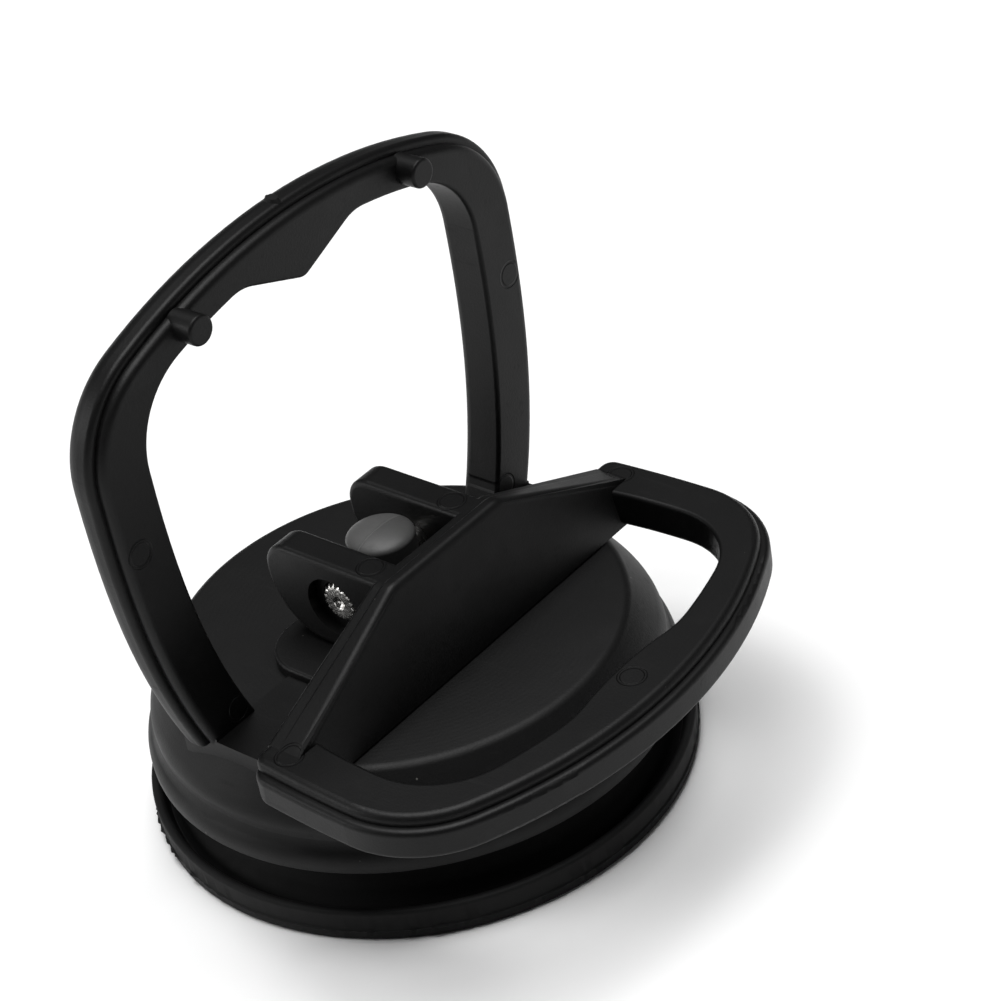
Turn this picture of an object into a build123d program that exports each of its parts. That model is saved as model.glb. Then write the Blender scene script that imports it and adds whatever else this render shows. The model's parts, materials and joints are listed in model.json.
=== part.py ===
from build123d import *
import math
import os

os.makedirs("parts", exist_ok=True)

# A lever-operated vacuum cup. Millimetres, +Z up.
# The origin is on the cup's axis, in the plane of its sealing lip.
# The hinge pin lies along Y, the lever opens towards +X, the fixed grip stands on the -X side.

# ---- clearances ----
running_gap = 0.05        # radial, hinge pin in the lever's ears
guide_gap = 0.15          # radial, stem in the cap and in the grip's pad
cam_gap = 0.1             # between the lever's cams and the grip's pad
rest_gap = 0.2            # between the open lever and the cap's disc
peg_gap = 0.1             # between the grip's pegs and the closed lever

# ---- working allowances ----
overcut = 1.0             # how far a cut runs past the face it opens
embed = 1.0               # how far a joined piece is sunk into its neighbour
near = 0.01               # how close counts as the same place when picking edges

# ---- rubber cup ----
cup_radius = 28.5
lip_height = 3.5
lip_width = 1.1
lip_draft = 0.5           # how far the lip's inner side slopes in down to the groove
lip_slope = 0.23          # how steeply the underside meets the sealing ring
groove_floor = 1.7
neck_radius = 23.6
neck_foot = 4.6           # height where the neck turns upright
neck_blend = 1.2
rubber_seat_inner = 20.6
diaphragm_top = 5.2
seat_draft = 1.5
boss_radius = 11.0
boss_draft = 1.0
boss_top = 8.4
seal_ring_width = 2.2
dish_radius = 14.0
dish_edge_height = 1.4
dish_edge_run = 0.4
dish_height = 1.9
dimple_radius = 1.1
dimple_depth = 0.4
rubber_round = 0.3

# ---- pressure cap ----
cap_seat = 7.7            # height of the rubber's seat, where the rim lands
cap_rim_radius = 27.5
cap_waist_radius = 26.7
cap_shoulder_radius = 26.6
disc_radius = 23.2
rim_band = 1.6            # height of the flange at the rim
rim_slope = 0.8           # rise of the flange's top towards the waist
waist_top = 4.1           # above the seat, where the shoulder starts
shoulder_top = 4.9        # above the seat, where the cone up to the disc starts
disc_height = 9.6         # above the seat
waist_hollow = 0.25       # how deep the waist curves in
rim_foot_round = 0.25
rim_top_round = 0.8
shoulder_round = 2.2
disc_round = 0.8
cap_wall = 3.6
seat_land = 1.2           # from the rubber seat's inner edge to the cap's wall
cap_roof = 2.8
cap_boss_radius = 6.5     # boss around the stem's hole
cap_boss_drop = 0.6

# ---- stem and pin ----
stem_radius = 3.5
stem_foot_radius = 8.5
stem_foot_thickness = 2.0
stem_foot_height = 3.6
stem_above_pin = 4.6
stem_crown = 1.1          # height of the rounded end
pin_radius = 2.25
pin_recess = 0.8          # pin's end below the ear's outer face
pin_chamfer = 0.35

# ---- lever handle, in its open position ----
ear_outer = 8.0           # half the width over both ears
ear_thickness = 3.6
ear_bottom = 5.1          # cam distance from the pin when the lever is open
ear_reach = 8.6           # cam distance from the pin when the lever is closed
ear_corner = 3.0
ear_flat = 0.07           # upright flat between the cam's end and the top corner
ear_round = 0.6
ear_hole_recess_radius = 3.3
ear_hole_recess_depth = 1.2
lever_thickness = 4.3
lever_hinge_x = 6.4       # the lever's straight edge beside the pin
lever_apex = 35.5
lever_half_width = 29.0
lever_hinge_half_width = 28.3
lever_crown_radius = 50.0
lever_corner_radius = 12.0
lever_foot_corner = 2.4
lever_side_band = 5.9
lever_crown_band = 5.3
side_lean = 0.1           # both loops' sides lean in again above their widest place
lever_window_crown_radius = 60.0
lever_window_corner = 9.0
lever_bulge_radius = 40.0
lever_bulge_depth = 1.3
lever_bulge_blend = 12.0
web_top_width = 2.9
web_bottom_width = 5.0
web_flat_half = 8.0
web_end_half = 25.1
web_bend_round = 3.0
web_back_round = 0.45
bead_setback = 1.3        # from the web's back to the bead along its top
bead_rise = 0.4
bead_front_round = 0.85
bead_back_round = 0.35

# ---- grip handle ----
pad_back_x = 7.9          # the pad's edge on the grip's side of the pin
pad_front_gap = 0.3       # from the pad to the lever's straight edge
pad_half_y = 13.0
pad_corner = 5.4
pad_thickness = 1.4
strap_half_width = 3.1
strap_thickness = 0.5
strap_wrap = 2.4          # how far the base's ends reach down over the shoulder
foot_height = 0.8         # the legs' square feet, above the disc
grip_thickness = 4.9
grip_offset = 2.3         # the grip's front face behind the pin axis
grip_top = 64.3
grip_half_width = 29.6
grip_foot_half_width = 25.0
grip_widest_height = 43.0
grip_crown_radius = 62.0
grip_corner_radius = 12.0
grip_side_band = 6.5
grip_foot_band = 7.1
grip_crown_band = 4.2
grip_window_corner = 9.0
bump_half_width = 9.0
bump_depth = 3.6
bump_tip_round = 1.6
bump_blend = 5.0
peg_radius = 1.5
peg_round = 0.3
peg_half_spacing = 15.4
peg_below_crown = 2.3
closed_lean = 3.5         # degrees past upright at which the closed lever meets the pegs

# ---- moulded edges of both handles ----
step_inset = 0.9          # the front layer stands in from the outline
step_depth = 1.1
step_round = 0.6          # on the back layer's shoulder
front_round = 0.8
lever_back_round = 0.6
grip_back_round = 2.4
window_front_round = 0.4
window_back_round = 1.1

# ---- places that follow from the sizes ----
disc_top = cap_seat + disc_height
pad_top = disc_top + pad_thickness
pin_height = pad_top + ear_bottom + cam_gap
lever_bottom = disc_top + rest_gap
lever_top = lever_bottom + lever_thickness
lever_face = pin_height - lever_top                   # from the lever's upper face to the pin axis
ear_inner = ear_outer - ear_thickness
cam_rise = (ear_reach - ear_bottom) / (math.pi / 2)   # per radian of lever travel
ear_top = cam_rise + ear_flat + ear_corner            # above the pin
base_half_length = grip_foot_half_width - step_inset


def cylinder(radius, bottom, top):
    """An upright cylinder on the cup's axis, between two heights."""
    return Pos(0, 0, (bottom + top) / 2) * Cylinder(radius, top - bottom)


def cross_cylinder(radius, y_from, y_to):
    """A cylinder on the pin axis."""
    rod = Rot(90, 0, 0) * Cylinder(radius, abs(y_to - y_from))
    return Pos(0, (y_from + y_to) / 2, pin_height) * rod


def suction_cup():
    """Rubber cup: sealing lip, diaphragm, seat for the cap's rim and boss around the stem's foot."""
    bead = lip_width / 2
    bead_height = lip_height - bead
    groove_radius = cup_radius - lip_width - lip_draft
    seal_inner = cup_radius - rubber_round - seal_ring_width
    dish_edge = dish_radius + dish_edge_run
    dimple_top = dish_height + dimple_depth
    with BuildPart() as cup:
        with BuildSketch(Plane.XZ):
            with BuildLine():
                Polyline(
                    (0, boss_top), (0, dimple_top), (dimple_radius, dimple_top),
                    (dimple_radius, dish_height), (dish_radius, dish_height),
                )
                Line((dish_radius, dish_height), (dish_edge, dish_edge_height))
                Spline((dish_edge, dish_edge_height), (seal_inner, 0), tangents=[(1, 0), (1, -lip_slope)])
                Line((seal_inner, 0), (cup_radius - rubber_round, 0))
                Line((cup_radius - rubber_round, 0), (cup_radius, rubber_round))
                Line((cup_radius, rubber_round), (cup_radius, bead_height))
                ThreePointArc(
                    (cup_radius, bead_height), (cup_radius - bead, lip_height),
                    (cup_radius - lip_width, bead_height),
                )
                Polyline(
                    (cup_radius - lip_width, bead_height), (groove_radius, groove_floor),
                    (neck_radius + neck_blend, neck_foot - neck_blend / 2),
                    (neck_radius, neck_foot + neck_blend / 2), (neck_radius, cap_seat),
                    (rubber_seat_inner, cap_seat), (rubber_seat_inner - seat_draft, diaphragm_top),
                    (boss_radius + boss_draft, diaphragm_top), (boss_radius, boss_top), (0, boss_top),
                )
            make_face()
        revolve(axis=Axis.Z)
    foot_pocket = cylinder(stem_foot_radius, stem_foot_height, stem_foot_height + stem_foot_thickness)
    return cup.part - foot_pocket - cylinder(stem_radius, stem_foot_height, boss_top + overcut)


def corners(sketch, places):
    """The sketch's vertices at some of its drawn corners."""
    return [v for v in sketch.vertices() if any(math.dist((v.X, v.Y), place) < near for place in places)]


def cap_solid():
    """The cap's outer shape without its cavity: flange, hollow waist, round shoulder, cone and disc."""
    rim_low = (cap_rim_radius, cap_seat)
    rim_high = (cap_rim_radius, cap_seat + rim_band)
    waist_low = (cap_waist_radius, cap_seat + rim_band + rim_slope)
    waist_high = (cap_shoulder_radius, cap_seat + waist_top)
    waist_middle = (cap_waist_radius - waist_hollow, (waist_low[1] + waist_high[1]) / 2)
    shoulder = (cap_shoulder_radius, cap_seat + shoulder_top)
    disc_edge = (disc_radius, disc_top)
    with BuildPart() as outside:
        with BuildSketch(Plane.XZ) as profile:
            with BuildLine():
                Polyline((0, cap_seat), rim_low, rim_high, waist_low)
                ThreePointArc(waist_low, waist_middle, waist_high)
                Polyline(waist_high, shoulder, disc_edge, (0, disc_top), (0, cap_seat))
            make_face()
            fillet(corners(profile, [rim_low]), rim_foot_round)
            fillet(corners(profile, [rim_high]), rim_top_round)
            fillet(corners(profile, [shoulder]), shoulder_round)
            fillet(corners(profile, [disc_edge]), disc_round)
        revolve(axis=Axis.Z)
    return outside.part


def pressure_cap():
    """Hard cap that presses the cup's edge down while the stem pulls its middle up."""
    wall_inner = cap_shoulder_radius - cap_wall
    roof_under = disc_top - cap_roof
    boss_under = roof_under - cap_boss_drop
    with BuildPart() as cavity:
        with BuildSketch(Plane.XZ):
            with BuildLine():
                Polyline(
                    (0, cap_seat), (rubber_seat_inner + seat_land, cap_seat),
                    (wall_inner, cap_seat + rim_band), (wall_inner, cap_seat + waist_top),
                    (disc_radius - cap_wall, roof_under), (cap_boss_radius, roof_under),
                    (cap_boss_radius, boss_under), (0, boss_under), close=True,
                )
            make_face()
        revolve(axis=Axis.Z)
    return cap_solid() - cavity.part - cylinder(stem_radius + guide_gap, cap_seat, disc_top + overcut)


def stem():
    """Moulded stem: foot held in the rubber, shank, rounded end and pin hole."""
    top = pin_height + stem_above_pin
    foot = cylinder(stem_foot_radius, stem_foot_height, stem_foot_height + stem_foot_thickness)
    shank = cylinder(stem_radius, stem_foot_height, top - stem_crown)
    crown = Pos(0, 0, top - stem_crown) * scale(Sphere(stem_radius), (1, 1, stem_crown / stem_radius))
    return foot + shank + crown - cross_cylinder(pin_radius, -stem_radius - overcut, stem_radius + overcut)


def hinge_pin():
    """Steel pin pressed through the stem; its ends sit in the ears' recesses."""
    end = ear_outer - pin_recess
    pin = cross_cylinder(pin_radius, -end, end)
    return chamfer(pin.edges().filter_by(GeomType.CIRCLE), pin_chamfer)


def cam_point(angle):
    """Point of the cam at one angle from straight down, measured towards -X from the pin."""
    reach = ear_bottom + cam_rise * angle
    x = -reach * math.sin(angle) - cam_rise * math.cos(angle)
    z = -reach * math.cos(angle) + cam_rise * math.sin(angle)
    return (x, pin_height + z)


def ear_profile():
    """Side outline of an ear in XZ. Its reach grows steadily from the bottom to the -X end."""
    steps = 6
    curve = [cam_point(math.pi / 2 * i / steps) for i in range(steps + 1)]
    top = pin_height + ear_top
    root = lever_hinge_x + web_top_width / 2
    with BuildSketch(Plane.XZ) as profile:
        with BuildLine():
            Spline(*curve, tangents=[(-1, 0), (0, 1)])
            Line(curve[-1], (-ear_reach, top - ear_corner))
            RadiusArc((-ear_reach, top - ear_corner), (-ear_reach + ear_corner, top), ear_corner)
            Polyline((-ear_reach + ear_corner, top), (root, top), (root, pin_height - ear_bottom), curve[0])
        make_face()
    return profile.sketch


def lever_ear(side):
    """One ear with its running hole and outer recess. side is -1 or 1."""
    middle = side * (ear_inner + ear_thickness / 2)
    ear = Pos(0, middle, 0) * extrude(ear_profile(), ear_thickness / 2, both=True)
    root = lever_hinge_x + web_top_width / 2
    rims = [
        e for face in (ear.faces().sort_by(Axis.Y)[0], ear.faces().sort_by(Axis.Y)[-1])
        for e in face.edges() if e.center().X < root - near
    ]
    ear = fillet(rims, ear_round)
    ear -= cross_cylinder(pin_radius + running_gap, -ear_outer - overcut, ear_outer + overcut)
    recess_floor = side * (ear_outer - ear_hole_recess_depth)
    return ear - cross_cylinder(ear_hole_recess_radius, recess_floor, side * (ear_outer + overcut))


def d_loop(foot, widest, foot_at, widest_at, crown_at, crown_radius, corner, foot_corner=0):
    """Symmetrical D outline: bowed sides up from a straight foot, a crown arc, round corners.

    foot and widest are half widths. X runs across, Y from the foot to the crown."""
    sag = crown_radius - math.sqrt(crown_radius**2 - widest**2)
    shoulder = crown_at - sag
    middle = (widest_at + foot_at) / 2
    bow = (foot + 3 * widest) / 4
    end = widest - side_lean
    with BuildSketch() as loop:
        with BuildLine():
            Line((-foot, foot_at), (foot, foot_at))
            Spline((foot, foot_at), (bow, middle), (widest, widest_at), (end, shoulder))
            ThreePointArc((end, shoulder), (0, crown_at), (-end, shoulder))
            Spline((-end, shoulder), (-widest, widest_at), (-bow, middle), (-foot, foot_at))
        make_face()
        fillet(corners(loop, [(end, shoulder), (-end, shoulder)]), corner)
        if foot_corner:
            fillet(corners(loop, [(foot, foot_at), (-foot, foot_at)]), foot_corner)
    return loop.sketch


def lever_outline(inset=0.0):
    """Outer outline of the lever's loop, X across and Y away from the pin."""
    crown = lever_apex - inset
    return d_loop(
        lever_hinge_half_width - inset, lever_half_width - inset, lever_hinge_x,
        (lever_hinge_x + lever_apex) / 2, crown, lever_crown_radius - inset, lever_corner_radius - inset,
        max(lever_foot_corner - inset, 0),
    )


def lever_window():
    """Finger opening of the lever's loop."""
    start = lever_hinge_x + web_bottom_width - overcut
    crown = lever_apex - lever_crown_band
    window = d_loop(
        lever_hinge_half_width - lever_side_band, lever_half_width - lever_side_band, start,
        (start + crown) / 2, crown, lever_window_crown_radius, lever_window_corner,
    )
    window -= Pos(0, crown - lever_bulge_depth + lever_bulge_radius) * Circle(lever_bulge_radius)
    half_chord = math.sqrt(lever_bulge_radius**2 - (lever_bulge_radius - lever_bulge_depth) ** 2)
    return fillet([v for v in window.vertices() if abs(v.X) < half_chord], lever_bulge_blend)


def grip_outline(inset=0.0):
    """Outer outline of the grip, X across and Y up from the cap's disc."""
    crown = grip_top - inset
    return d_loop(
        grip_foot_half_width - inset, grip_half_width - inset, disc_top,
        grip_widest_height, crown, grip_crown_radius - inset, grip_corner_radius - inset,
    )


def grip_window():
    """Finger opening of the grip, with a blunt peak between its two finger scallops."""
    crown = grip_top - grip_crown_band
    window = d_loop(
        grip_foot_half_width - grip_foot_band, grip_half_width - grip_side_band, disc_top - overcut,
        grip_widest_height, crown, grip_crown_radius - grip_crown_band, grip_window_corner,
    )
    tip = (0, crown - bump_depth)
    with BuildSketch() as bump:
        with BuildLine():
            Polyline(tip, (bump_half_width, crown), (-bump_half_width, crown), close=True)
        make_face()
    window -= bump.sketch
    window = fillet(corners(window, [tip]), bump_tip_round)
    blends = [v for v in window.vertices() if bump_half_width / 2 < abs(v.X) < bump_half_width]
    return fillet(blends, bump_blend)


def curved_edges(face):
    """The face's edges without its straight ones."""
    return [e for e in face.edges() if e.geom_type != GeomType.LINE]


def window_edges(face, plane, outline):
    """The face's curved edges that run around its window, which may be open at the foot."""
    inner_zone = outline(grip_back_round + step_inset).face()

    def inside(edge):
        spot = plane.to_local_coords(edge.position_at(0.5))
        return inner_zone.is_inside(Vector(spot.X, spot.Y, 0))

    return [e for e in curved_edges(face) if inside(e)]


def handle_loop(plane, outline, window, thickness, back_round):
    """A moulded loop behind a plane: an inset front layer on a full-size back layer, and a window."""
    axis = Axis((0, 0, 0), plane.z_dir)
    front = extrude(plane * outline(step_inset), -step_depth)
    front = fillet(curved_edges(front.faces().sort_by(axis)[-1]), front_round)
    back = extrude(plane.offset(-step_depth) * outline(), step_depth - thickness)
    back = fillet(curved_edges(back.faces().sort_by(axis)[0]), back_round)
    back = fillet(curved_edges(back.faces().sort_by(axis)[-1]), step_round)
    loop = front + back - extrude(plane.offset(overcut) * window(), -thickness - 2 * overcut)
    loop = fillet(window_edges(loop.faces().sort_by(axis)[-1], plane, outline), window_front_round)
    return fillet(window_edges(loop.faces().sort_by(axis)[0], plane, outline), window_back_round)


def web_slab(back_x, thickness, rise):
    """A layer of the web: flat along its top, sloped down to the loop's legs, leaning on its front side."""
    ridge = pin_height + ear_top + rise
    front_x = lever_hinge_x + web_bottom_width
    bends = [(-web_flat_half, ridge), (web_flat_half, ridge)]
    with BuildSketch(Plane.YZ.offset(back_x)) as outline:
        with BuildLine():
            Polyline(
                (-web_end_half, lever_bottom), (-web_end_half, lever_top), *bends,
                (web_end_half, lever_top), (web_end_half, lever_bottom), close=True,
            )
        make_face()
        fillet(corners(outline, bends), web_bend_round)
    with BuildSketch(Plane.XZ) as side:
        with BuildLine():
            Polyline(
                (back_x, lever_bottom), (front_x, lever_bottom),
                (lever_hinge_x + web_top_width, ridge), (back_x, ridge), close=True,
            )
        make_face()
    return extrude(outline.sketch, thickness) & extrude(side.sketch, web_end_half, both=True)


def top_edges(slab, at_back):
    """The edges along a layer's top, on its back or its front side."""
    back_x = slab.bounding_box().min.X
    return [
        e for e in slab.edges()
        if (e.center().X < back_x + near) == at_back and e.center().Z > lever_top + near
        and abs(e.tangent_at(0.5).X) < abs(e.tangent_at(0.5).Y)
    ]


def lever_web():
    """Sloped wall between the loop's legs that carries both ears, with a bead along its top."""
    wall = web_slab(lever_hinge_x, web_bottom_width, 0)
    wall = fillet(top_edges(wall, True), web_back_round)
    bead = web_slab(lever_hinge_x + bead_setback, web_bottom_width - bead_setback, bead_rise)
    bead = fillet(top_edges(bead, False), bead_front_round)
    return wall + fillet(top_edges(bead, True), bead_back_round)


def lever_handle():
    """Lever: D-shaped loop, sloped web and two cam ears in one moulding."""
    plane = Plane(origin=(0, 0, lever_top), x_dir=(0, -1, 0), z_dir=(0, 0, 1))
    loop = handle_loop(plane, lever_outline, lever_window, lever_thickness, lever_back_round)
    return loop + lever_web() + lever_ear(-1) + lever_ear(1)


def grip_base():
    """Strap across the disc, its ends wrapped over the shoulder, and the pad under the cams."""
    pad_front_x = lever_hinge_x - pad_front_gap
    with BuildPart() as pad:
        with BuildSketch(Plane.XY.offset(disc_top)):
            with Locations(((pad_front_x - pad_back_x) / 2, 0)):
                RectangleRounded(pad_front_x + pad_back_x, 2 * pad_half_y, pad_corner)
        extrude(amount=pad_thickness)
        fillet(pad.faces().sort_by(Axis.Z)[-1].edges(), window_front_round)
    strap = Pos(0, 0, disc_top + strap_thickness) * Box(
        2 * strap_half_width, 2 * base_half_length, strap_thickness + strap_wrap,
        align=(Align.CENTER, Align.CENTER, Align.MAX),
    )
    return pad.part + strap


def grip_pegs():
    """Two stop pegs. Their length is set by the closed lever, which leans on them past upright."""
    sag = grip_crown_radius - math.sqrt(grip_crown_radius**2 - peg_half_spacing**2)
    height = grip_top - peg_below_crown - sag
    lean = math.radians(closed_lean)
    closed_pin_height = pin_height + cam_rise * (math.pi / 2 + lean)
    above_pin = height + peg_radius - closed_pin_height
    lever_at_peg = (lever_face - above_pin * math.sin(lean)) / math.cos(lean)
    length = grip_offset + lever_at_peg - peg_gap
    peg = Rot(0, 90, 0) * Cylinder(
        peg_radius, length + embed, align=(Align.CENTER, Align.CENTER, Align.MIN),
    )
    peg = fillet(peg.edges().filter_by(GeomType.CIRCLE).sort_by(Axis.X)[-1:], peg_round)
    return [Pos(-grip_offset - embed, side * peg_half_spacing, height) * peg for side in (-1, 1)]


def grip_handle():
    """Fixed upright grip whose base is trapped between the cap and the lever's cams."""
    plane = Plane(origin=(-grip_offset, 0, 0), x_dir=(0, 1, 0), z_dir=(1, 0, 0))
    grip = handle_loop(plane, grip_outline, grip_window, grip_thickness, grip_back_round)
    for peg in grip_pegs():
        grip += peg
    foot_width = grip_foot_band - step_inset - window_back_round
    foot = Box(
        grip_thickness, foot_width, foot_height + strap_wrap, align=(Align.MAX, Align.CENTER, Align.MAX),
    )
    foot_y = base_half_length - foot_width / 2
    for side in (-1, 1):
        grip += Pos(-grip_offset, side * foot_y, disc_top + foot_height) * foot
    grip += grip_base()
    grip -= cap_solid()
    return grip - cylinder(stem_radius + guide_gap, cap_seat, pad_top + overcut)


for name, make in {
    "suction_cup": suction_cup,
    "pressure_cap": pressure_cap,
    "stem": stem,
    "hinge_pin": hinge_pin,
    "lever_handle": lever_handle,
    "grip_handle": grip_handle,
}.items():
    export_step(make(), f"parts/{name}.step")
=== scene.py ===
"""Looks of a lever-operated vacuum cup.

Run as a script, it registers its operators and calls them in order.
Sizes written here are in millimetres unless they carry a unit; Blender's own are in metres.
"""
import json
import math

import bmesh
import bpy
from mathutils import Matrix, Vector, noise


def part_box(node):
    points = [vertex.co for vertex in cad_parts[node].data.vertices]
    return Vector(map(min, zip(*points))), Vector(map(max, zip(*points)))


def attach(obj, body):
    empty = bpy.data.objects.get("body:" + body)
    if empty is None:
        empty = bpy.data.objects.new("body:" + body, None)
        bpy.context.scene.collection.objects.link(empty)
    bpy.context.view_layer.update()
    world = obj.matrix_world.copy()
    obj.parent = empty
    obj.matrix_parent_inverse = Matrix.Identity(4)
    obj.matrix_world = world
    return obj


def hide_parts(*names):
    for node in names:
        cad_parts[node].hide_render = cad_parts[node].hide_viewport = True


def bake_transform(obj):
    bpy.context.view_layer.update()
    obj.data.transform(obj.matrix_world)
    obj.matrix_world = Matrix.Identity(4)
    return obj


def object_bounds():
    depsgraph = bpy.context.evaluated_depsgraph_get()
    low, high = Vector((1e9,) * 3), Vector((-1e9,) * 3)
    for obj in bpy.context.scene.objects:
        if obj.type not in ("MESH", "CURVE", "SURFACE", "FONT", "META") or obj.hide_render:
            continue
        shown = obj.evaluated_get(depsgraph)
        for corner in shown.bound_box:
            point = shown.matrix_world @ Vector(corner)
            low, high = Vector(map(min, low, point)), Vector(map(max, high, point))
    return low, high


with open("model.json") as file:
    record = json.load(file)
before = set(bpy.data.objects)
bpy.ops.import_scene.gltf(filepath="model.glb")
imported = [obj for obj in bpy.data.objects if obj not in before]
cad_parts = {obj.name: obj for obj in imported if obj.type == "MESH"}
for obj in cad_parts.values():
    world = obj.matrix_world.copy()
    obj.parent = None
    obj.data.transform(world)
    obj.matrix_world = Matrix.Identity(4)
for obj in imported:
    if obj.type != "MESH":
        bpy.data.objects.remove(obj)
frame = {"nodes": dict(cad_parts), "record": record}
cad_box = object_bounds()

bl_info = {
    "name": "Vacuum Cup Looks",
    "version": (1, 0, 0),
    "blender": (4, 5, 0),
    "location": "View3D > Sidebar > Vacuum Cup",
    "description": "Rubber, moulded plastic and steel finishes for a lever-operated vacuum cup",
    "category": "Object",
}

MM = 0.001
SLOTS = {m["slot"]: tuple(m["base_color"]) for m in frame["record"]["materials"]}

PLASTIC_DUST = (0.09, 0.088, 0.082, 1)
PLASTIC_FILM = (0.0095, 0.0095, 0.009, 1)
RUBBER_DUST = (0.08, 0.078, 0.074, 1)
RUBBER_BLOOM = (0.013, 0.013, 0.013, 1)
PAPER = (0.93, 0.93, 0.93, 1)

EJECTOR_RADIUS = 1.3
EAR_EJECTOR_RADIUS = 1.35
EJECTOR_LINE = 0.2          # width of the ring that an ejector pin leaves
EJECTOR_DEPTH = 0.11
BEVEL_SEGMENTS = 5
MERGE_DISTANCE = 0.001

TOP_PLACE = (-0.15, 0.1, 1.5)             # metres, as the other lights' places
LEFT_PLACE, LEFT_SIZE = (-0.48, -0.44, 0.26), 0.30
RIGHT_PLACE, RIGHT_SIZE = (0.42, 0.42, 0.20), 0.25
LIGHT_AIM = (0, 0, 0.03)
FLOOR_DROP = 0.02                         # the floor lies this far under the sealing lip
VIEW_HEIGHT = 12                          # the view's centre on the cup's axis, and its shift across and up
VIEW_ACROSS, VIEW_UP = 9.43, 16.01
SENSOR_WIDTH = 36
NEAR_CLIP = 0.01                          # metres


# ---------------------------------------------------------------- settings

class RubberSettings(bpy.types.PropertyGroup):
    """The moulded rubber cup."""
    colour: bpy.props.FloatVectorProperty(
        name="Colour", description="Base colour of the rubber", subtype="COLOR", size=3,
        min=0, max=1, default=SLOTS["cup_rubber"])
    roughness: bpy.props.FloatProperty(
        name="Roughness", description="Roughness of clean rubber", subtype="FACTOR",
        min=0, max=1, default=0.62)
    flash: bpy.props.FloatProperty(
        name="Flash", description="How far the trimmed flash stands out of the lip", unit="LENGTH",
        min=0, default=0.5 * MM)
    steps: bpy.props.IntProperty(
        name="Steps", description="Divisions around the cup", min=64, max=720, default=480)


class PlasticSettings(bpy.types.PropertyGroup):
    """The black plastic of the cap and both handles."""
    cap_colour: bpy.props.FloatVectorProperty(
        name="Cap colour", description="Base colour of the cap", subtype="COLOR", size=3,
        min=0, max=1, default=SLOTS["cap_plastic"])
    handle_colour: bpy.props.FloatVectorProperty(
        name="Handle colour", description="Base colour of both handles", subtype="COLOR", size=3,
        min=0, max=1, default=SLOTS["handle_plastic"])
    roughness: bpy.props.FloatProperty(
        name="Roughness", description="Roughness of clean plastic", subtype="FACTOR",
        min=0, max=1, default=0.43)
    cap_steps: bpy.props.IntProperty(
        name="Cap steps", description="Divisions around the cap", min=64, max=720, default=360)
    dust: bpy.props.FloatProperty(
        name="Dust", description="How much pale dust lies on the plastic", subtype="FACTOR",
        min=0, max=1, default=0.5)


class StemSettings(bpy.types.PropertyGroup):
    """The grey stem and the steel pin through it."""
    colour: bpy.props.FloatVectorProperty(
        name="Stem colour", description="Base colour of the stem", subtype="COLOR", size=3,
        min=0, max=1, default=SLOTS["stem_plastic"])
    steel: bpy.props.FloatVectorProperty(
        name="Steel colour", description="Base colour of the pin", subtype="COLOR", size=3,
        min=0, max=1, default=SLOTS["pin_steel"])
    flutes: bpy.props.IntProperty(
        name="Flutes", description="Flutes around each end of the pin", min=6, max=40, default=16)


class StageSettings(bpy.types.PropertyGroup):
    """Floor, lights and camera."""
    floor: bpy.props.FloatProperty(
        name="Floor", description="Side of the square floor", unit="LENGTH", min=0.5, default=6.0)
    key_power: bpy.props.FloatProperty(
        name="Key light", description="Strength of the broad light from above, in W/m2", min=0, default=3.4)
    key_angle: bpy.props.FloatProperty(
        name="Key width", description="Angle that the broad light takes up in the sky", subtype="ANGLE",
        min=0, default=math.radians(47))
    left_power: bpy.props.FloatProperty(
        name="Left light", description="Power of the light on the left", unit="POWER", min=0, default=1.25)
    sky: bpy.props.FloatProperty(
        name="Sky", description="Strength of the even light from all around", min=0, default=0.04)
    fill_power: bpy.props.FloatProperty(
        name="Fill light", description="Power of the low side light", unit="POWER", min=0, default=0.12)
    azimuth: bpy.props.FloatProperty(
        name="Azimuth", description="Camera's turn about the cup's axis", subtype="ANGLE",
        default=math.radians(45.5))
    elevation: bpy.props.FloatProperty(
        name="Elevation", description="Camera's height above the sealing plane", subtype="ANGLE",
        default=math.radians(34.03))
    roll: bpy.props.FloatProperty(
        name="Roll", description="Camera's turn about its own axis", subtype="ANGLE",
        default=math.radians(-10.85))
    distance: bpy.props.FloatProperty(
        name="Distance", description="From the camera to the point it looks at", unit="LENGTH", default=0.3)
    lens: bpy.props.FloatProperty(
        name="Lens", description="Focal length on a 36 mm sensor", unit="CAMERA", default=106.49)


SETTINGS = {
    "cup_rubber_look": RubberSettings, "cup_plastic_look": PlasticSettings,
    "cup_stem_look": StemSettings, "cup_stage_look": StageSettings,
}


# ---------------------------------------------------------------- finishes

class Wire:
    """A node's output that can stand in a sum."""

    def __init__(self, finish, socket):
        self.finish, self.socket = finish, socket

    def sum(self, operation, *values):
        return self.finish.node("ShaderNodeMath", {"operation": operation}, dict(enumerate(values)))

    def __add__(self, other):
        return self.sum("ADD", self, other)

    def __sub__(self, other):
        return self.sum("SUBTRACT", self, other)

    def __rsub__(self, other):
        return self.sum("SUBTRACT", other, self)

    def __mul__(self, other):
        return self.sum("MULTIPLY", self, other)

    def __truediv__(self, other):
        return self.sum("DIVIDE", self, other)

    def __pow__(self, other):
        return self.sum("POWER", self, other)

    __radd__, __rmul__ = __add__, __mul__


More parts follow.
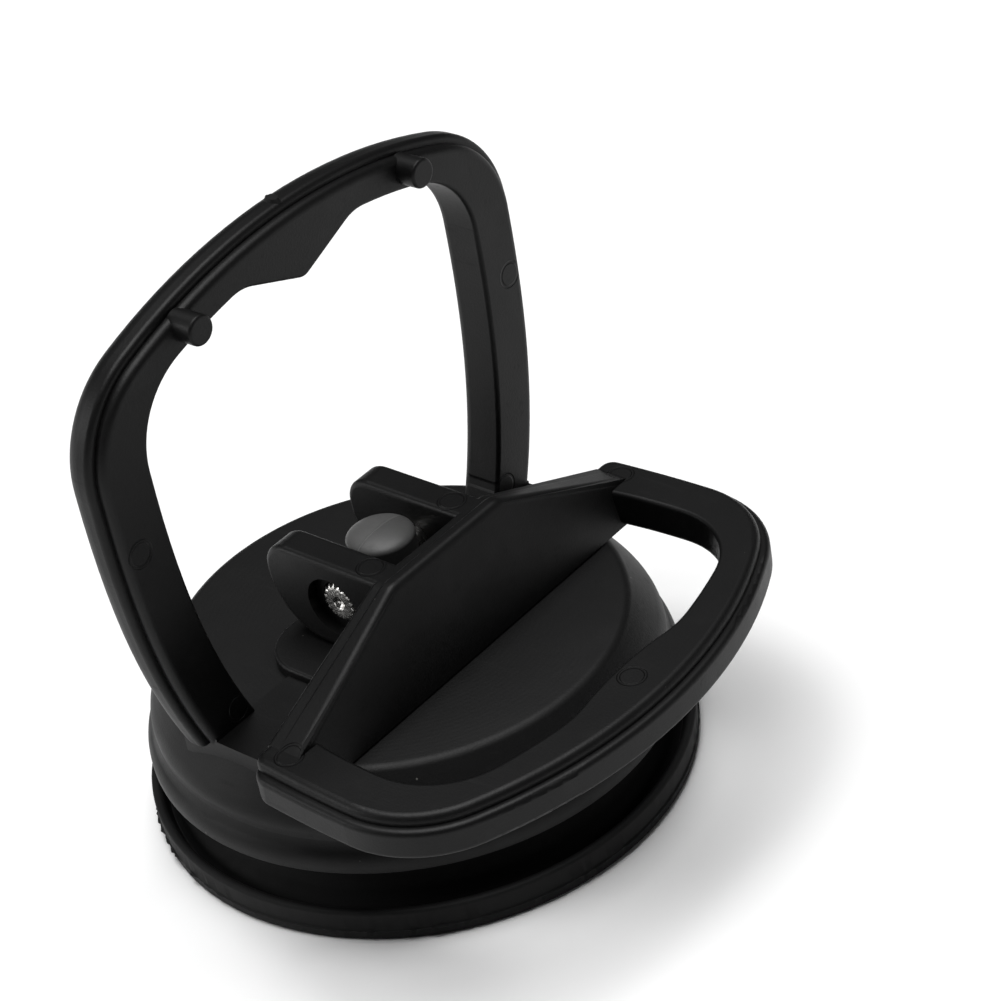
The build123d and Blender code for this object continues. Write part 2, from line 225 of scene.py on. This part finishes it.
class Finish:
    """One material, built from its nodes."""

    def __init__(self, name, slot):
        self.material = bpy.data.materials.new(name)
        self.material.use_nodes = True
        self.slot = slot
        self.tree = self.material.node_tree
        self.tree.nodes.clear()
        self.shader = self.tree.nodes.new("ShaderNodeBsdfPrincipled")
        output = self.tree.nodes.new("ShaderNodeOutputMaterial")
        self.tree.links.new(self.shader.outputs[0], output.inputs[0])
        self.place = self.node("ShaderNodeTexCoord", output="Object")
        parts = self.node("ShaderNodeSeparateXYZ", {}, {0: self.place}, output=None)
        self.x, self.y, self.z = (Wire(self, s) for s in parts.outputs)

    def node(self, kind, settings=None, sockets=None, output=0):
        """Adds a node: its settings first, then the values or links of its sockets."""
        node = self.tree.nodes.new(kind)
        for name, value in (settings or {}).items():
            setattr(node, name, value)
        for name, value in (sockets or {}).items():
            self.plug(node.inputs[name], value)
        return node if output is None else Wire(self, node.outputs[output])

    def plug(self, socket, value):
        if isinstance(value, Wire):
            self.tree.links.new(value.socket, socket)
        else:
            socket.default_value = value

    def set(self, **values):
        """Sets the shader's own sockets; Base_Color stands for Base Color."""
        for name, value in values.items():
            self.plug(self.shader.inputs[name.replace("_", " ")], value)

    def grain(self, size, detail=2.0, rough=0.5, stretch=(1, 1, 1), seed=0.0):
        """Noise from 0 to 1 with features of about one size in millimetres."""
        spot = self.node("ShaderNodeMapping", {}, {"Vector": self.place, "Scale": stretch,
                                                   "Location": (seed, seed * 0.7, -seed)})
        return self.node("ShaderNodeTexNoise", {"noise_dimensions": "3D"}, {
            "Vector": spot, "Scale": 1 / (size * MM), "Detail": detail, "Roughness": rough})

    def step(self, value, low, high):
        """0 below low, 1 above high, smooth between."""
        return self.node("ShaderNodeMapRange", {"interpolation_type": "SMOOTHSTEP"},
                         {"Value": value, "From Min": low, "From Max": high})

    def mix(self, mask, low, high):
        """One colour where the mask is 0, another where it is 1."""
        return self.node("ShaderNodeMix", {"data_type": "RGBA"}, {0: mask, 6: low, 7: high}, output=2)

    def specks(self, spacing, size, share, seed=0.0):
        """Sparse round specks: spacing and size in millimetres, share of the cells that hold one."""
        spot = self.node("ShaderNodeMapping", {}, {"Vector": self.place, "Location": (seed, -seed, seed)})
        cells = self.node("ShaderNodeTexVoronoi", {"feature": "F1"}, {
            "Vector": spot, "Scale": 1 / (spacing * MM), "Randomness": 1.0}, output=None)
        pick = self.node("ShaderNodeSeparateColor", {}, {0: Wire(self, cells.outputs["Color"])}, output=None)
        near = 1 - self.step(Wire(self, cells.outputs["Distance"]), size / spacing * 0.5, size / spacing)
        return near * self.step(Wire(self, pick.outputs[0]), 1 - share, 1 - share + 0.02)

    def ring(self, centre, axes, radius, width):
        """A thin ring in the plane of two axes: 1 on the line, 0 away from it; all in millimetres."""
        wires = {"x": self.x, "y": self.y, "z": self.z}
        a = wires[axes[0]] / MM - centre[0]
        b = wires[axes[1]] / MM - centre[1]
        away = (a * a + b * b) ** 0.5 - radius
        return 1 - self.step(away.sum("ABSOLUTE", away), width * 0.35, width)

    def bump(self, height):
        """Turns a height in millimetres into the shader's normal."""
        self.set(Normal=self.node("ShaderNodeBump", {}, {"Strength": 1.0, "Distance": MM, "Height": height}))


def tint(colour, factor):
    """A colour made lighter or darker, with its alpha."""
    return tuple(min(1, c * factor) for c in colour) + (1,)


def moulded(finish, colour, roughness, dust, marks=(), extra=0.0):
    """Black moulded plastic: fine spark texture, faint sink, rubbed patches, dust and ejector marks."""
    fine = finish.grain(0.22, 2.0)
    sink = finish.grain(7.0, 1.0, seed=0.013)
    patch = finish.grain(11.0, 3.0, 0.6, seed=0.031)
    scratch = finish.step(finish.grain(1.1, 3.0, 0.55, (0.12, 1, 1), seed=0.02), 0.62, 0.70)
    rub = finish.step(patch, 0.45, 0.75)
    share = 0.3 * dust
    speck = finish.specks(3.4, 0.13, share) + finish.specks(1.9, 0.08, share, seed=0.009)
    film = finish.step(finish.grain(4.0, 4.0, 0.65, seed=0.05), 0.5, 0.85) * (0.35 * dust)
    shade = finish.mix(rub, tint(colour, 0.4), tint(colour, 0.7))
    shade = finish.mix(film, shade, PLASTIC_FILM)
    shade = finish.mix(speck.sum("MINIMUM", speck, 1.0), shade, PLASTIC_DUST)
    height = fine * 0.015 + sink * 0.05 - scratch * 0.002 + speck * 0.03 + extra
    mark_line = None
    for centre, axes, radius in marks:
        line = finish.ring(centre, axes, radius, EJECTOR_LINE)
        mark_line = line if mark_line is None else mark_line + line
    if mark_line is not None:
        height = height - mark_line * EJECTOR_DEPTH
    finish.set(
        Base_Color=shade, IOR=1.49, Specular_IOR_Level=0.21,
        Roughness=roughness - rub * 0.07 + fine * 0.08 + film * 0.25 + scratch * 0.06)
    finish.bump(height)
    return finish


def rubber(finish, colour, roughness):
    """Matte black rubber: fine stipple, turned rings from the mould, pale bloom."""
    reach = (finish.x * finish.x + finish.y * finish.y) ** 0.5
    turns = reach * (2 * math.pi / (0.42 * MM))
    rings = turns.sum("SINE", turns)
    stipple = finish.grain(0.16, 3.0, 0.6)
    broad = finish.grain(9.0, 3.0, 0.6, seed=0.04)
    bloom = finish.step(finish.grain(5.0, 5.0, 0.7, (1, 1, 0.4), seed=0.07), 0.48, 0.9)
    speck = finish.specks(2.6, 0.12, 0.14)
    shade = finish.mix(bloom, tint(colour, 0.7), RUBBER_BLOOM)
    shade = finish.mix(speck, shade, RUBBER_DUST)
    finish.set(
        Base_Color=shade, IOR=1.52, Specular_IOR_Level=0.16,
        Roughness=roughness + bloom * 0.16 + stipple * 0.06)
    finish.bump(rings * 0.0012 + stipple * 0.009 + broad * 0.06 + speck * 0.03)
    return finish


def grey_stem(finish, colour):
    """Grey plastic with its mould's parting line across the rounded end, drawn lighter as a painted highlight,
    and one half darker as painted shade.
    """
    x = finish.x / MM
    # The parting line: a thin raised ridge in the bump, drawn lighter as a painted highlight
    seam_and_highlight = 1 - finish.step(x.sum("ABSOLUTE", x - 0.06), 0.05, 0.16)
    # The +x half: raised 0.04 mm in the bump, and darker as painted shade for the light falling less on that
    # half
    half = finish.step(x, -0.02, 0.02)
    flow = finish.grain(1.4, 4.0, 0.6, (1, 1, 0.35))
    fine = finish.grain(0.2, 2.0)
    smudge = finish.step(finish.grain(2.2, 4.0, 0.7, seed=0.02), 0.5, 0.8)
    shade = finish.mix(flow, tint(colour, 0.82), tint(colour, 1.18))
    shade = finish.mix(smudge * 0.5, shade, tint(colour, 0.6))
    # painted shade on the +x half
    shade = finish.mix(half * 0.5, shade, tint(colour, 0.55))
    # painted highlight along the parting line
    shade = finish.mix(seam_and_highlight * 0.55, shade, tint(colour, 1.7))
    finish.set(Base_Color=shade, IOR=1.5, Roughness=0.42 + fine * 0.1 + smudge * 0.1)
    finish.bump(seam_and_highlight * 0.07 + half * 0.04 + fine * 0.007 + flow * 0.015)
    return finish


def turned_steel(finish, colour):
    """Bright turned steel: rings on the ends, drawn lines along the side, small dents."""
    x, z = finish.x / MM, finish.z / MM - pin_height()
    reach = (x * x + z * z) ** 0.5
    turns = reach * 42.0
    rings = turns.sum("SINE", turns)
    drawn = finish.grain(0.25, 3.0, 0.6, (1, 0.05, 1))
    dents = finish.grain(0.5, 2.0, 0.5, seed=0.01)
    dull = finish.step(finish.grain(0.8, 3.0, 0.6, seed=0.03), 0.5, 0.75)
    shade = finish.mix(dull, tint(colour, 1.15), tint(colour, 0.6))
    finish.set(Base_Color=shade, Metallic=1.0, Roughness=0.18 + dull * 0.2 + drawn * 0.08)
    finish.bump(rings * 0.003 + drawn * 0.012 + dents * 0.05)
    return finish


def pin_height():
    low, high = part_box("hinge_pin")
    return (low.z + high.z) / 2 / MM


# ---------------------------------------------------------------- shapes

def turned(section, steps, about="Z"):
    """A solid of revolution. section is its half section, (radius, height, rounding) in millimetres."""
    bm = bmesh.new()
    corners = [bm.verts.new((r * MM, 0, h * MM)) for r, h, _ in section]
    closed = section[0][0] > 0 or section[-1][0] > 0
    for a, b in zip(corners, corners[1:] + corners[:1] * closed):
        bm.edges.new((a, b))
    for corner, (_, _, rounding) in zip(corners, section):
        if rounding:
            bmesh.ops.bevel(
                bm, geom=[corner], offset=rounding * MM, offset_type="OFFSET", segments=BEVEL_SEGMENTS,
                profile=0.5, affect="VERTICES", material=-1)
    bmesh.ops.spin(
        bm, geom=bm.verts[:] + bm.edges[:], cent=(0, 0, 0), axis=(0, 0, 1), dvec=(0, 0, 0),
        angle=2 * math.pi, steps=steps, use_merge=True)
    bmesh.ops.remove_doubles(bm, verts=bm.verts, dist=MERGE_DISTANCE * MM)
    bmesh.ops.recalc_face_normals(bm, faces=bm.faces)
    if about == "Y":
        bmesh.ops.rotate(bm, verts=bm.verts, cent=(0, 0, 0), matrix=Matrix.Rotation(math.pi / 2, 3, "X"))
    return bm


def piece(name, bm, finish, sharp=40):
    """Makes a mesh an object with its finish; the object stays at the origin."""
    mesh = bpy.data.meshes.new(name)
    bm.to_mesh(mesh)
    bm.free()
    mesh.shade_smooth()
    mesh.set_sharp_from_angle(angle=math.radians(sharp))
    mesh.materials.append(finish.material)
    made = bpy.data.objects.new(name, mesh)
    bpy.context.scene.collection.objects.link(made)
    return made


def dress(node, finish):
    """Gives a CAD node a better material."""
    for slot in frame["nodes"][node].material_slots:
        slot.material = finish.material


# ---------------------------------------------------------------- operators

class VACCUP_OT_rubber(bpy.types.Operator):
    """The rubber cup: a ring held by the cap, and a diaphragm, which the stem pulls up on the real cup and
    which stays fixed here
    """
    bl_idname = "vaccup.rubber"
    bl_label = "Rubber cup"

    def execute(self, context):
        look = context.scene.cup_rubber_look
        finish = rubber(Finish("cup_rubber_finish", "cup_rubber"), look.colour, look.roughness)
        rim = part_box("suction_cup")[1].x / MM
        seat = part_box("pressure_cap")[0].z / MM
        seal = rim - 2.5
        flash_height, lip_height = 1.2, 3.2
        tool_marks, flash_limit = 0.02, 0.3
        ring = turned([
            (seal, 0.02, 0), (seal, 0, 0), (rim - 0.35, 0, 0), (rim - 0.18, 0.2, 0), (rim - 0.15, 1.05, 0),
            (rim - 0.02, flash_height, 0), (rim - 0.15, 1.35, 0), (rim - 0.1, 3.5, 0.4), (rim - 1.1, 3.5, 0.45),
            (rim - 1.6, 1.7, 0.25), (rim - 3.7, 4.0, 0.5), (rim - 4.9, 5.2, 0.6),
            (rim - 4.9, seat, 0), (rim - 7.9, seat, 0), (rim - 7.9, 5.6, 0), (rim - 3.6, 1.7, 0),
        ], look.steps)
        for vert in ring.verts:
            reach = Vector((vert.co.x, vert.co.y, 0))
            height = vert.co.z / MM
            if height < lip_height and reach.length > (rim - 0.5) * MM:
                ragged = noise.fractal(reach * 900, 0.7, 2.3, 4)
                worn = 0.35 + 1.1 * noise.noise(reach * 60)
                if abs(height - flash_height) < 0.05:
                    pull = look.flash * max(worn * ragged, -0.2)
                else:
                    pull = tool_marks * MM * (ragged - 1)
                vert.co += reach.normalized() * min(pull, flash_limit * MM)
        ring_piece = piece("rubber_ring", ring, finish)
        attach(ring_piece, "cap")
        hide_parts("suction_cup")

        diaphragm = turned([
            (0, 8.4, 0), (0, 2.3, 0), (0.7, 2.25, 0.2), (1.15, 1.9, 0.12), (13.9, 1.86, 1.2),
            (14.5, 1.42, 0.4), (19.5, 0.95, 2.0), (23.6, 0.12, 2.0), (seal + 0.02, 0.0, 0),
            (seal - 0.1, 0.35, 0), (rim - 7.0, 1.3, 0), (rim - 9.4, 5.2, 0), (12.0, 5.2, 0.4), (11.0, 8.4, 0.4),
        ], look.steps // 2)
        web = piece("rubber_diaphragm", diaphragm, finish)
        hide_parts("suction_cup")
        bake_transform(web)
        return {"FINISHED"}


class VACCUP_OT_cap(bpy.types.Operator):
    """The hard cap: a turned shell with its moulded finish"""
    bl_idname = "vaccup.cap"
    bl_label = "Pressure cap"

    def execute(self, context):
        look = context.scene.cup_plastic_look
        finish = Finish("cap_plastic_finish", "cap_plastic")
        reach = (finish.x * finish.x + finish.y * finish.y) ** 0.5
        turn = reach.sum("SINE", reach * (2 * math.pi / (0.6 * MM)))
        finish = moulded(finish, look.cap_colour, look.roughness + 0.05, look.dust, extra=turn * 0.0012)
        low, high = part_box("pressure_cap")
        rim, seat, top = high.x / MM, low.z / MM, high.z / MM
        cap = turned([
            (rim - 5.7, seat, 0), (rim, seat, 0.22), (rim, seat + 1.6, 0.8), (rim - 0.85, seat + 2.5, 0.7),
            (rim - 1.1, seat + 3.3, 0.8), (rim - 0.9, seat + 4.9, 1.4), (rim - 4.3, top, 0.6), (3.95, top, 0.2),
            (3.66, top - 0.3, 0.1), (3.66, top - 3.4, 0), (6.5, top - 3.4, 0.2), (6.5, top - 2.8, 0.2),
            (rim - 7.9, top - 2.8, 0.6), (rim - 4.5, seat + 4.1, 0.6), (rim - 4.5, seat + 1.6, 0),
        ], look.cap_steps)
        cap_piece = piece("turned_cap", cap, finish, sharp=50)
        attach(cap_piece, "cap")
        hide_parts("pressure_cap")
        return {"FINISHED"}


class VACCUP_OT_handles(bpy.types.Operator):
    """Both handles' moulded finish, with the marks of the mould's ejector pins"""
    bl_idname = "vaccup.handles"
    bl_label = "Handles"

    def execute(self, context):
        look = context.scene.cup_plastic_look
        grip = Finish("grip_plastic_finish", "handle_plastic")
        lever = Finish("lever_plastic_finish", "handle_plastic")
        sides = (-1, 1)
        grip_marks = [((side * 26.8, 42.0), "yz", EJECTOR_RADIUS) for side in sides]
        grip_marks += [((side * 20.6, 19.6), "yz", EJECTOR_RADIUS) for side in sides]
        lever_marks = [((30.9, -0.6), "xy", EJECTOR_RADIUS)]
        lever_marks += [((9.6, side * 25.4), "xy", EJECTOR_RADIUS) for side in sides]
        lever_marks += [((4.6, side * 6.1), "xy", EAR_EJECTOR_RADIUS) for side in sides]
        dress("grip_handle", moulded(grip, look.handle_colour, look.roughness, look.dust, grip_marks))
        dress("lever_handle", moulded(lever, look.handle_colour, look.roughness, look.dust, lever_marks))
        return {"FINISHED"}


class VACCUP_OT_gate(bpy.types.Operator):
    """The broken-off gate on the grip's crown"""
    bl_idname = "vaccup.gate"
    bl_label = "Gate stub"

    def execute(self, context):
        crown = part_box("grip_handle")[1].z
        foot, tip, length, torn, stands_out = 0.75, 0.5, 0.5, 0.12, 0.1
        finish = moulded(Finish("gate_plastic_finish", "handle_plastic"), SLOTS["handle_plastic"], 0.6, 0.3)
        bm = bmesh.new()
        bmesh.ops.create_cone(
            bm, cap_ends=True, segments=14, radius1=foot * MM, radius2=tip * MM, depth=length * MM)
        bmesh.ops.subdivide_edges(bm, edges=bm.edges[:], cuts=1, use_grid_fill=True)
        for vert in bm.verts:
            if vert.co.z > 0:
                vert.co.z += torn * MM * noise.noise(vert.co * 3000)
        bmesh.ops.scale(bm, verts=bm.verts, vec=(1.4, 0.9, 1))
        bmesh.ops.translate(bm, verts=bm.verts, vec=(-4.6 * MM, 0, crown + stands_out * MM))
        bmesh.ops.recalc_face_normals(bm, faces=bm.faces)
        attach(piece("grip_gate_stub", bm, finish), "cap")
        return {"FINISHED"}


class VACCUP_OT_stem(bpy.types.Operator):
    """The grey stem's finish"""
    bl_idname = "vaccup.stem"
    bl_label = "Stem"

    def execute(self, context):
        look = context.scene.cup_stem_look
        dress("stem", grey_stem(Finish("stem_plastic_finish", "stem_plastic"), look.colour))
        return {"FINISHED"}


class VACCUP_OT_pin(bpy.types.Operator):
    """The steel pin with fluted, turned ends"""
    bl_idname = "vaccup.pin"
    bl_label = "Hinge pin"

    def execute(self, context):
        look = context.scene.cup_stem_look
        low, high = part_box("hinge_pin")
        radius, end = (high.z - low.z) / 2 / MM, high.y / MM
        flute_length, flute_depth = 2.1, 0.11
        half = [
            (0, end - 0.55, 0), (0.45, end - 0.3, 0.1), (0.7, end - 0.02, 0.1), (radius - 0.4, end, 0.12),
            (radius, end - 0.4, 0.1), (radius, end - 2.0, 0.1), (radius - 0.15, end - 2.2, 0),
            (radius - 0.15, end - 2.4, 0), (radius, end - 2.55, 0.05),
        ]
        bm = turned(half + [(r, -h, b) for r, h, b in reversed(half)], look.flutes * 8, about="Y")
        for vert in bm.verts:
            along = abs(vert.co.y) / MM
            reach = math.hypot(vert.co.x, vert.co.z) / MM
            if along > end - flute_length and reach > radius * 0.6:
                turn = math.atan2(vert.co.z, vert.co.x)
                cut = 1 - flute_depth * (0.5 + 0.5 * math.cos(look.flutes * turn)) ** 2
                vert.co.x *= cut
                vert.co.z *= cut
        bmesh.ops.translate(bm, verts=bm.verts, vec=(0, 0, pin_height() * MM))
        finish = turned_steel(Finish("pin_steel_finish", "pin_steel"), look.steel)
        pin = piece("fluted_pin", bm, finish, sharp=28)
        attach(pin, "stem")
        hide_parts("hinge_pin")
        return {"FINISHED"}


class VACCUP_OT_stage(bpy.types.Operator):
    """Pale floor, soft lights and camera"""
    bl_idname = "vaccup.stage"
    bl_label = "Stage"

    def execute(self, context):
        look = context.scene.cup_stage_look
        self.floor(look.floor)
        key = self.light("top_light", "SUN", look.key_power, TOP_PLACE)
        key.angle = look.key_angle
        left = self.light("left_softbox", "AREA", look.left_power, LEFT_PLACE)
        left.shape, left.size = "DISK", LEFT_SIZE
        right = self.light("right_softbox", "AREA", look.fill_power, RIGHT_PLACE)
        right.shape, right.size = "DISK", RIGHT_SIZE
        world = bpy.data.worlds.new("studio")
        world.use_nodes = True
        backdrop = world.node_tree.nodes["Background"]
        backdrop.inputs["Color"].default_value = (1, 1, 1, 1)
        backdrop.inputs["Strength"].default_value = look.sky
        context.scene.world = world
        context.scene.view_settings.view_transform = "Standard"
        self.camera(context, look)
        return {"FINISHED"}

    def floor(self, side):
        bm = bmesh.new()
        bmesh.ops.create_grid(bm, x_segments=1, y_segments=1, size=side / 2)
        bmesh.ops.translate(bm, verts=bm.verts, vec=(0, 0, cad_box[0][2] - FLOOR_DROP * MM))
        mesh = bpy.data.meshes.new("floor")
        bm.to_mesh(mesh)
        bm.free()
        ground = bpy.data.objects.new("floor", mesh)
        bpy.context.scene.collection.objects.link(ground)
        finish = Finish("floor_paper", "")
        finish.set(Base_Color=PAPER, Roughness=0.9, Specular_IOR_Level=0.1)
        mesh.materials.append(finish.material)

    def light(self, name, kind, power, place):
        lamp = bpy.data.lights.new(name, kind)
        lamp.energy = power
        made = bpy.data.objects.new(name, lamp)
        bpy.context.scene.collection.objects.link(made)
        aim = Vector(LIGHT_AIM) - Vector(place)
        made.matrix_world = Matrix.Translation(place) @ aim.to_track_quat("-Z", "Y").to_matrix().to_4x4()
        return lamp

    def camera(self, context, look):
        back = Vector((
            math.sin(look.azimuth) * math.cos(look.elevation),
            -math.cos(look.azimuth) * math.cos(look.elevation),
            math.sin(look.elevation)))
        across = Vector((math.cos(look.azimuth), math.sin(look.azimuth), 0))
        up = back.cross(across)
        turn = Matrix.Rotation(look.roll, 3, back)
        across, up = turn @ across, turn @ up
        aim = Vector((0, 0, VIEW_HEIGHT)) + VIEW_ACROSS * across + VIEW_UP * up
        lens = bpy.data.cameras.new("camera")
        lens.lens, lens.sensor_width, lens.clip_start = look.lens, SENSOR_WIDTH, NEAR_CLIP
        made = bpy.data.objects.new("camera", lens)
        context.scene.collection.objects.link(made)
        frame_axes = Matrix((across, up, back)).transposed().to_4x4()
        made.matrix_world = Matrix.Translation(aim * MM + look.distance * back) @ frame_axes
        context.scene.camera = made


class VACCUP_PT_looks(bpy.types.Panel):
    """Lists the settings and the operators"""
    bl_idname = "VACCUP_PT_looks"
    bl_label = "Vacuum cup"
    bl_space_type = "VIEW_3D"
    bl_region_type = "UI"
    bl_category = "Vacuum Cup"

    def draw(self, context):
        for name, group in SETTINGS.items():
            column = self.layout.box().column()
            column.label(text=group.__doc__)
            for setting in group.__annotations__:
                column.prop(getattr(context.scene, name), setting)
        for operator in OPERATORS:
            self.layout.operator(operator.bl_idname)


OPERATORS = (
    VACCUP_OT_rubber, VACCUP_OT_cap, VACCUP_OT_stem, VACCUP_OT_pin, VACCUP_OT_handles, VACCUP_OT_gate,
    VACCUP_OT_stage,
)
CLASSES = (*SETTINGS.values(), *OPERATORS, VACCUP_PT_looks)


def register():
    for item in CLASSES:
        bpy.utils.register_class(item)
    for name, group in SETTINGS.items():
        setattr(bpy.types.Scene, name, bpy.props.PointerProperty(type=group))


def unregister():
    for name in SETTINGS:
        delattr(bpy.types.Scene, name)
    for item in reversed(CLASSES):
        bpy.utils.unregister_class(item)


def main():
    register()
    bpy.ops.vaccup.stage()
    bpy.ops.vaccup.rubber()
    bpy.ops.vaccup.cap()
    bpy.ops.vaccup.stem()
    bpy.ops.vaccup.pin()
    bpy.ops.vaccup.handles()
    bpy.ops.vaccup.gate()


if __name__ == "__main__":
    main()
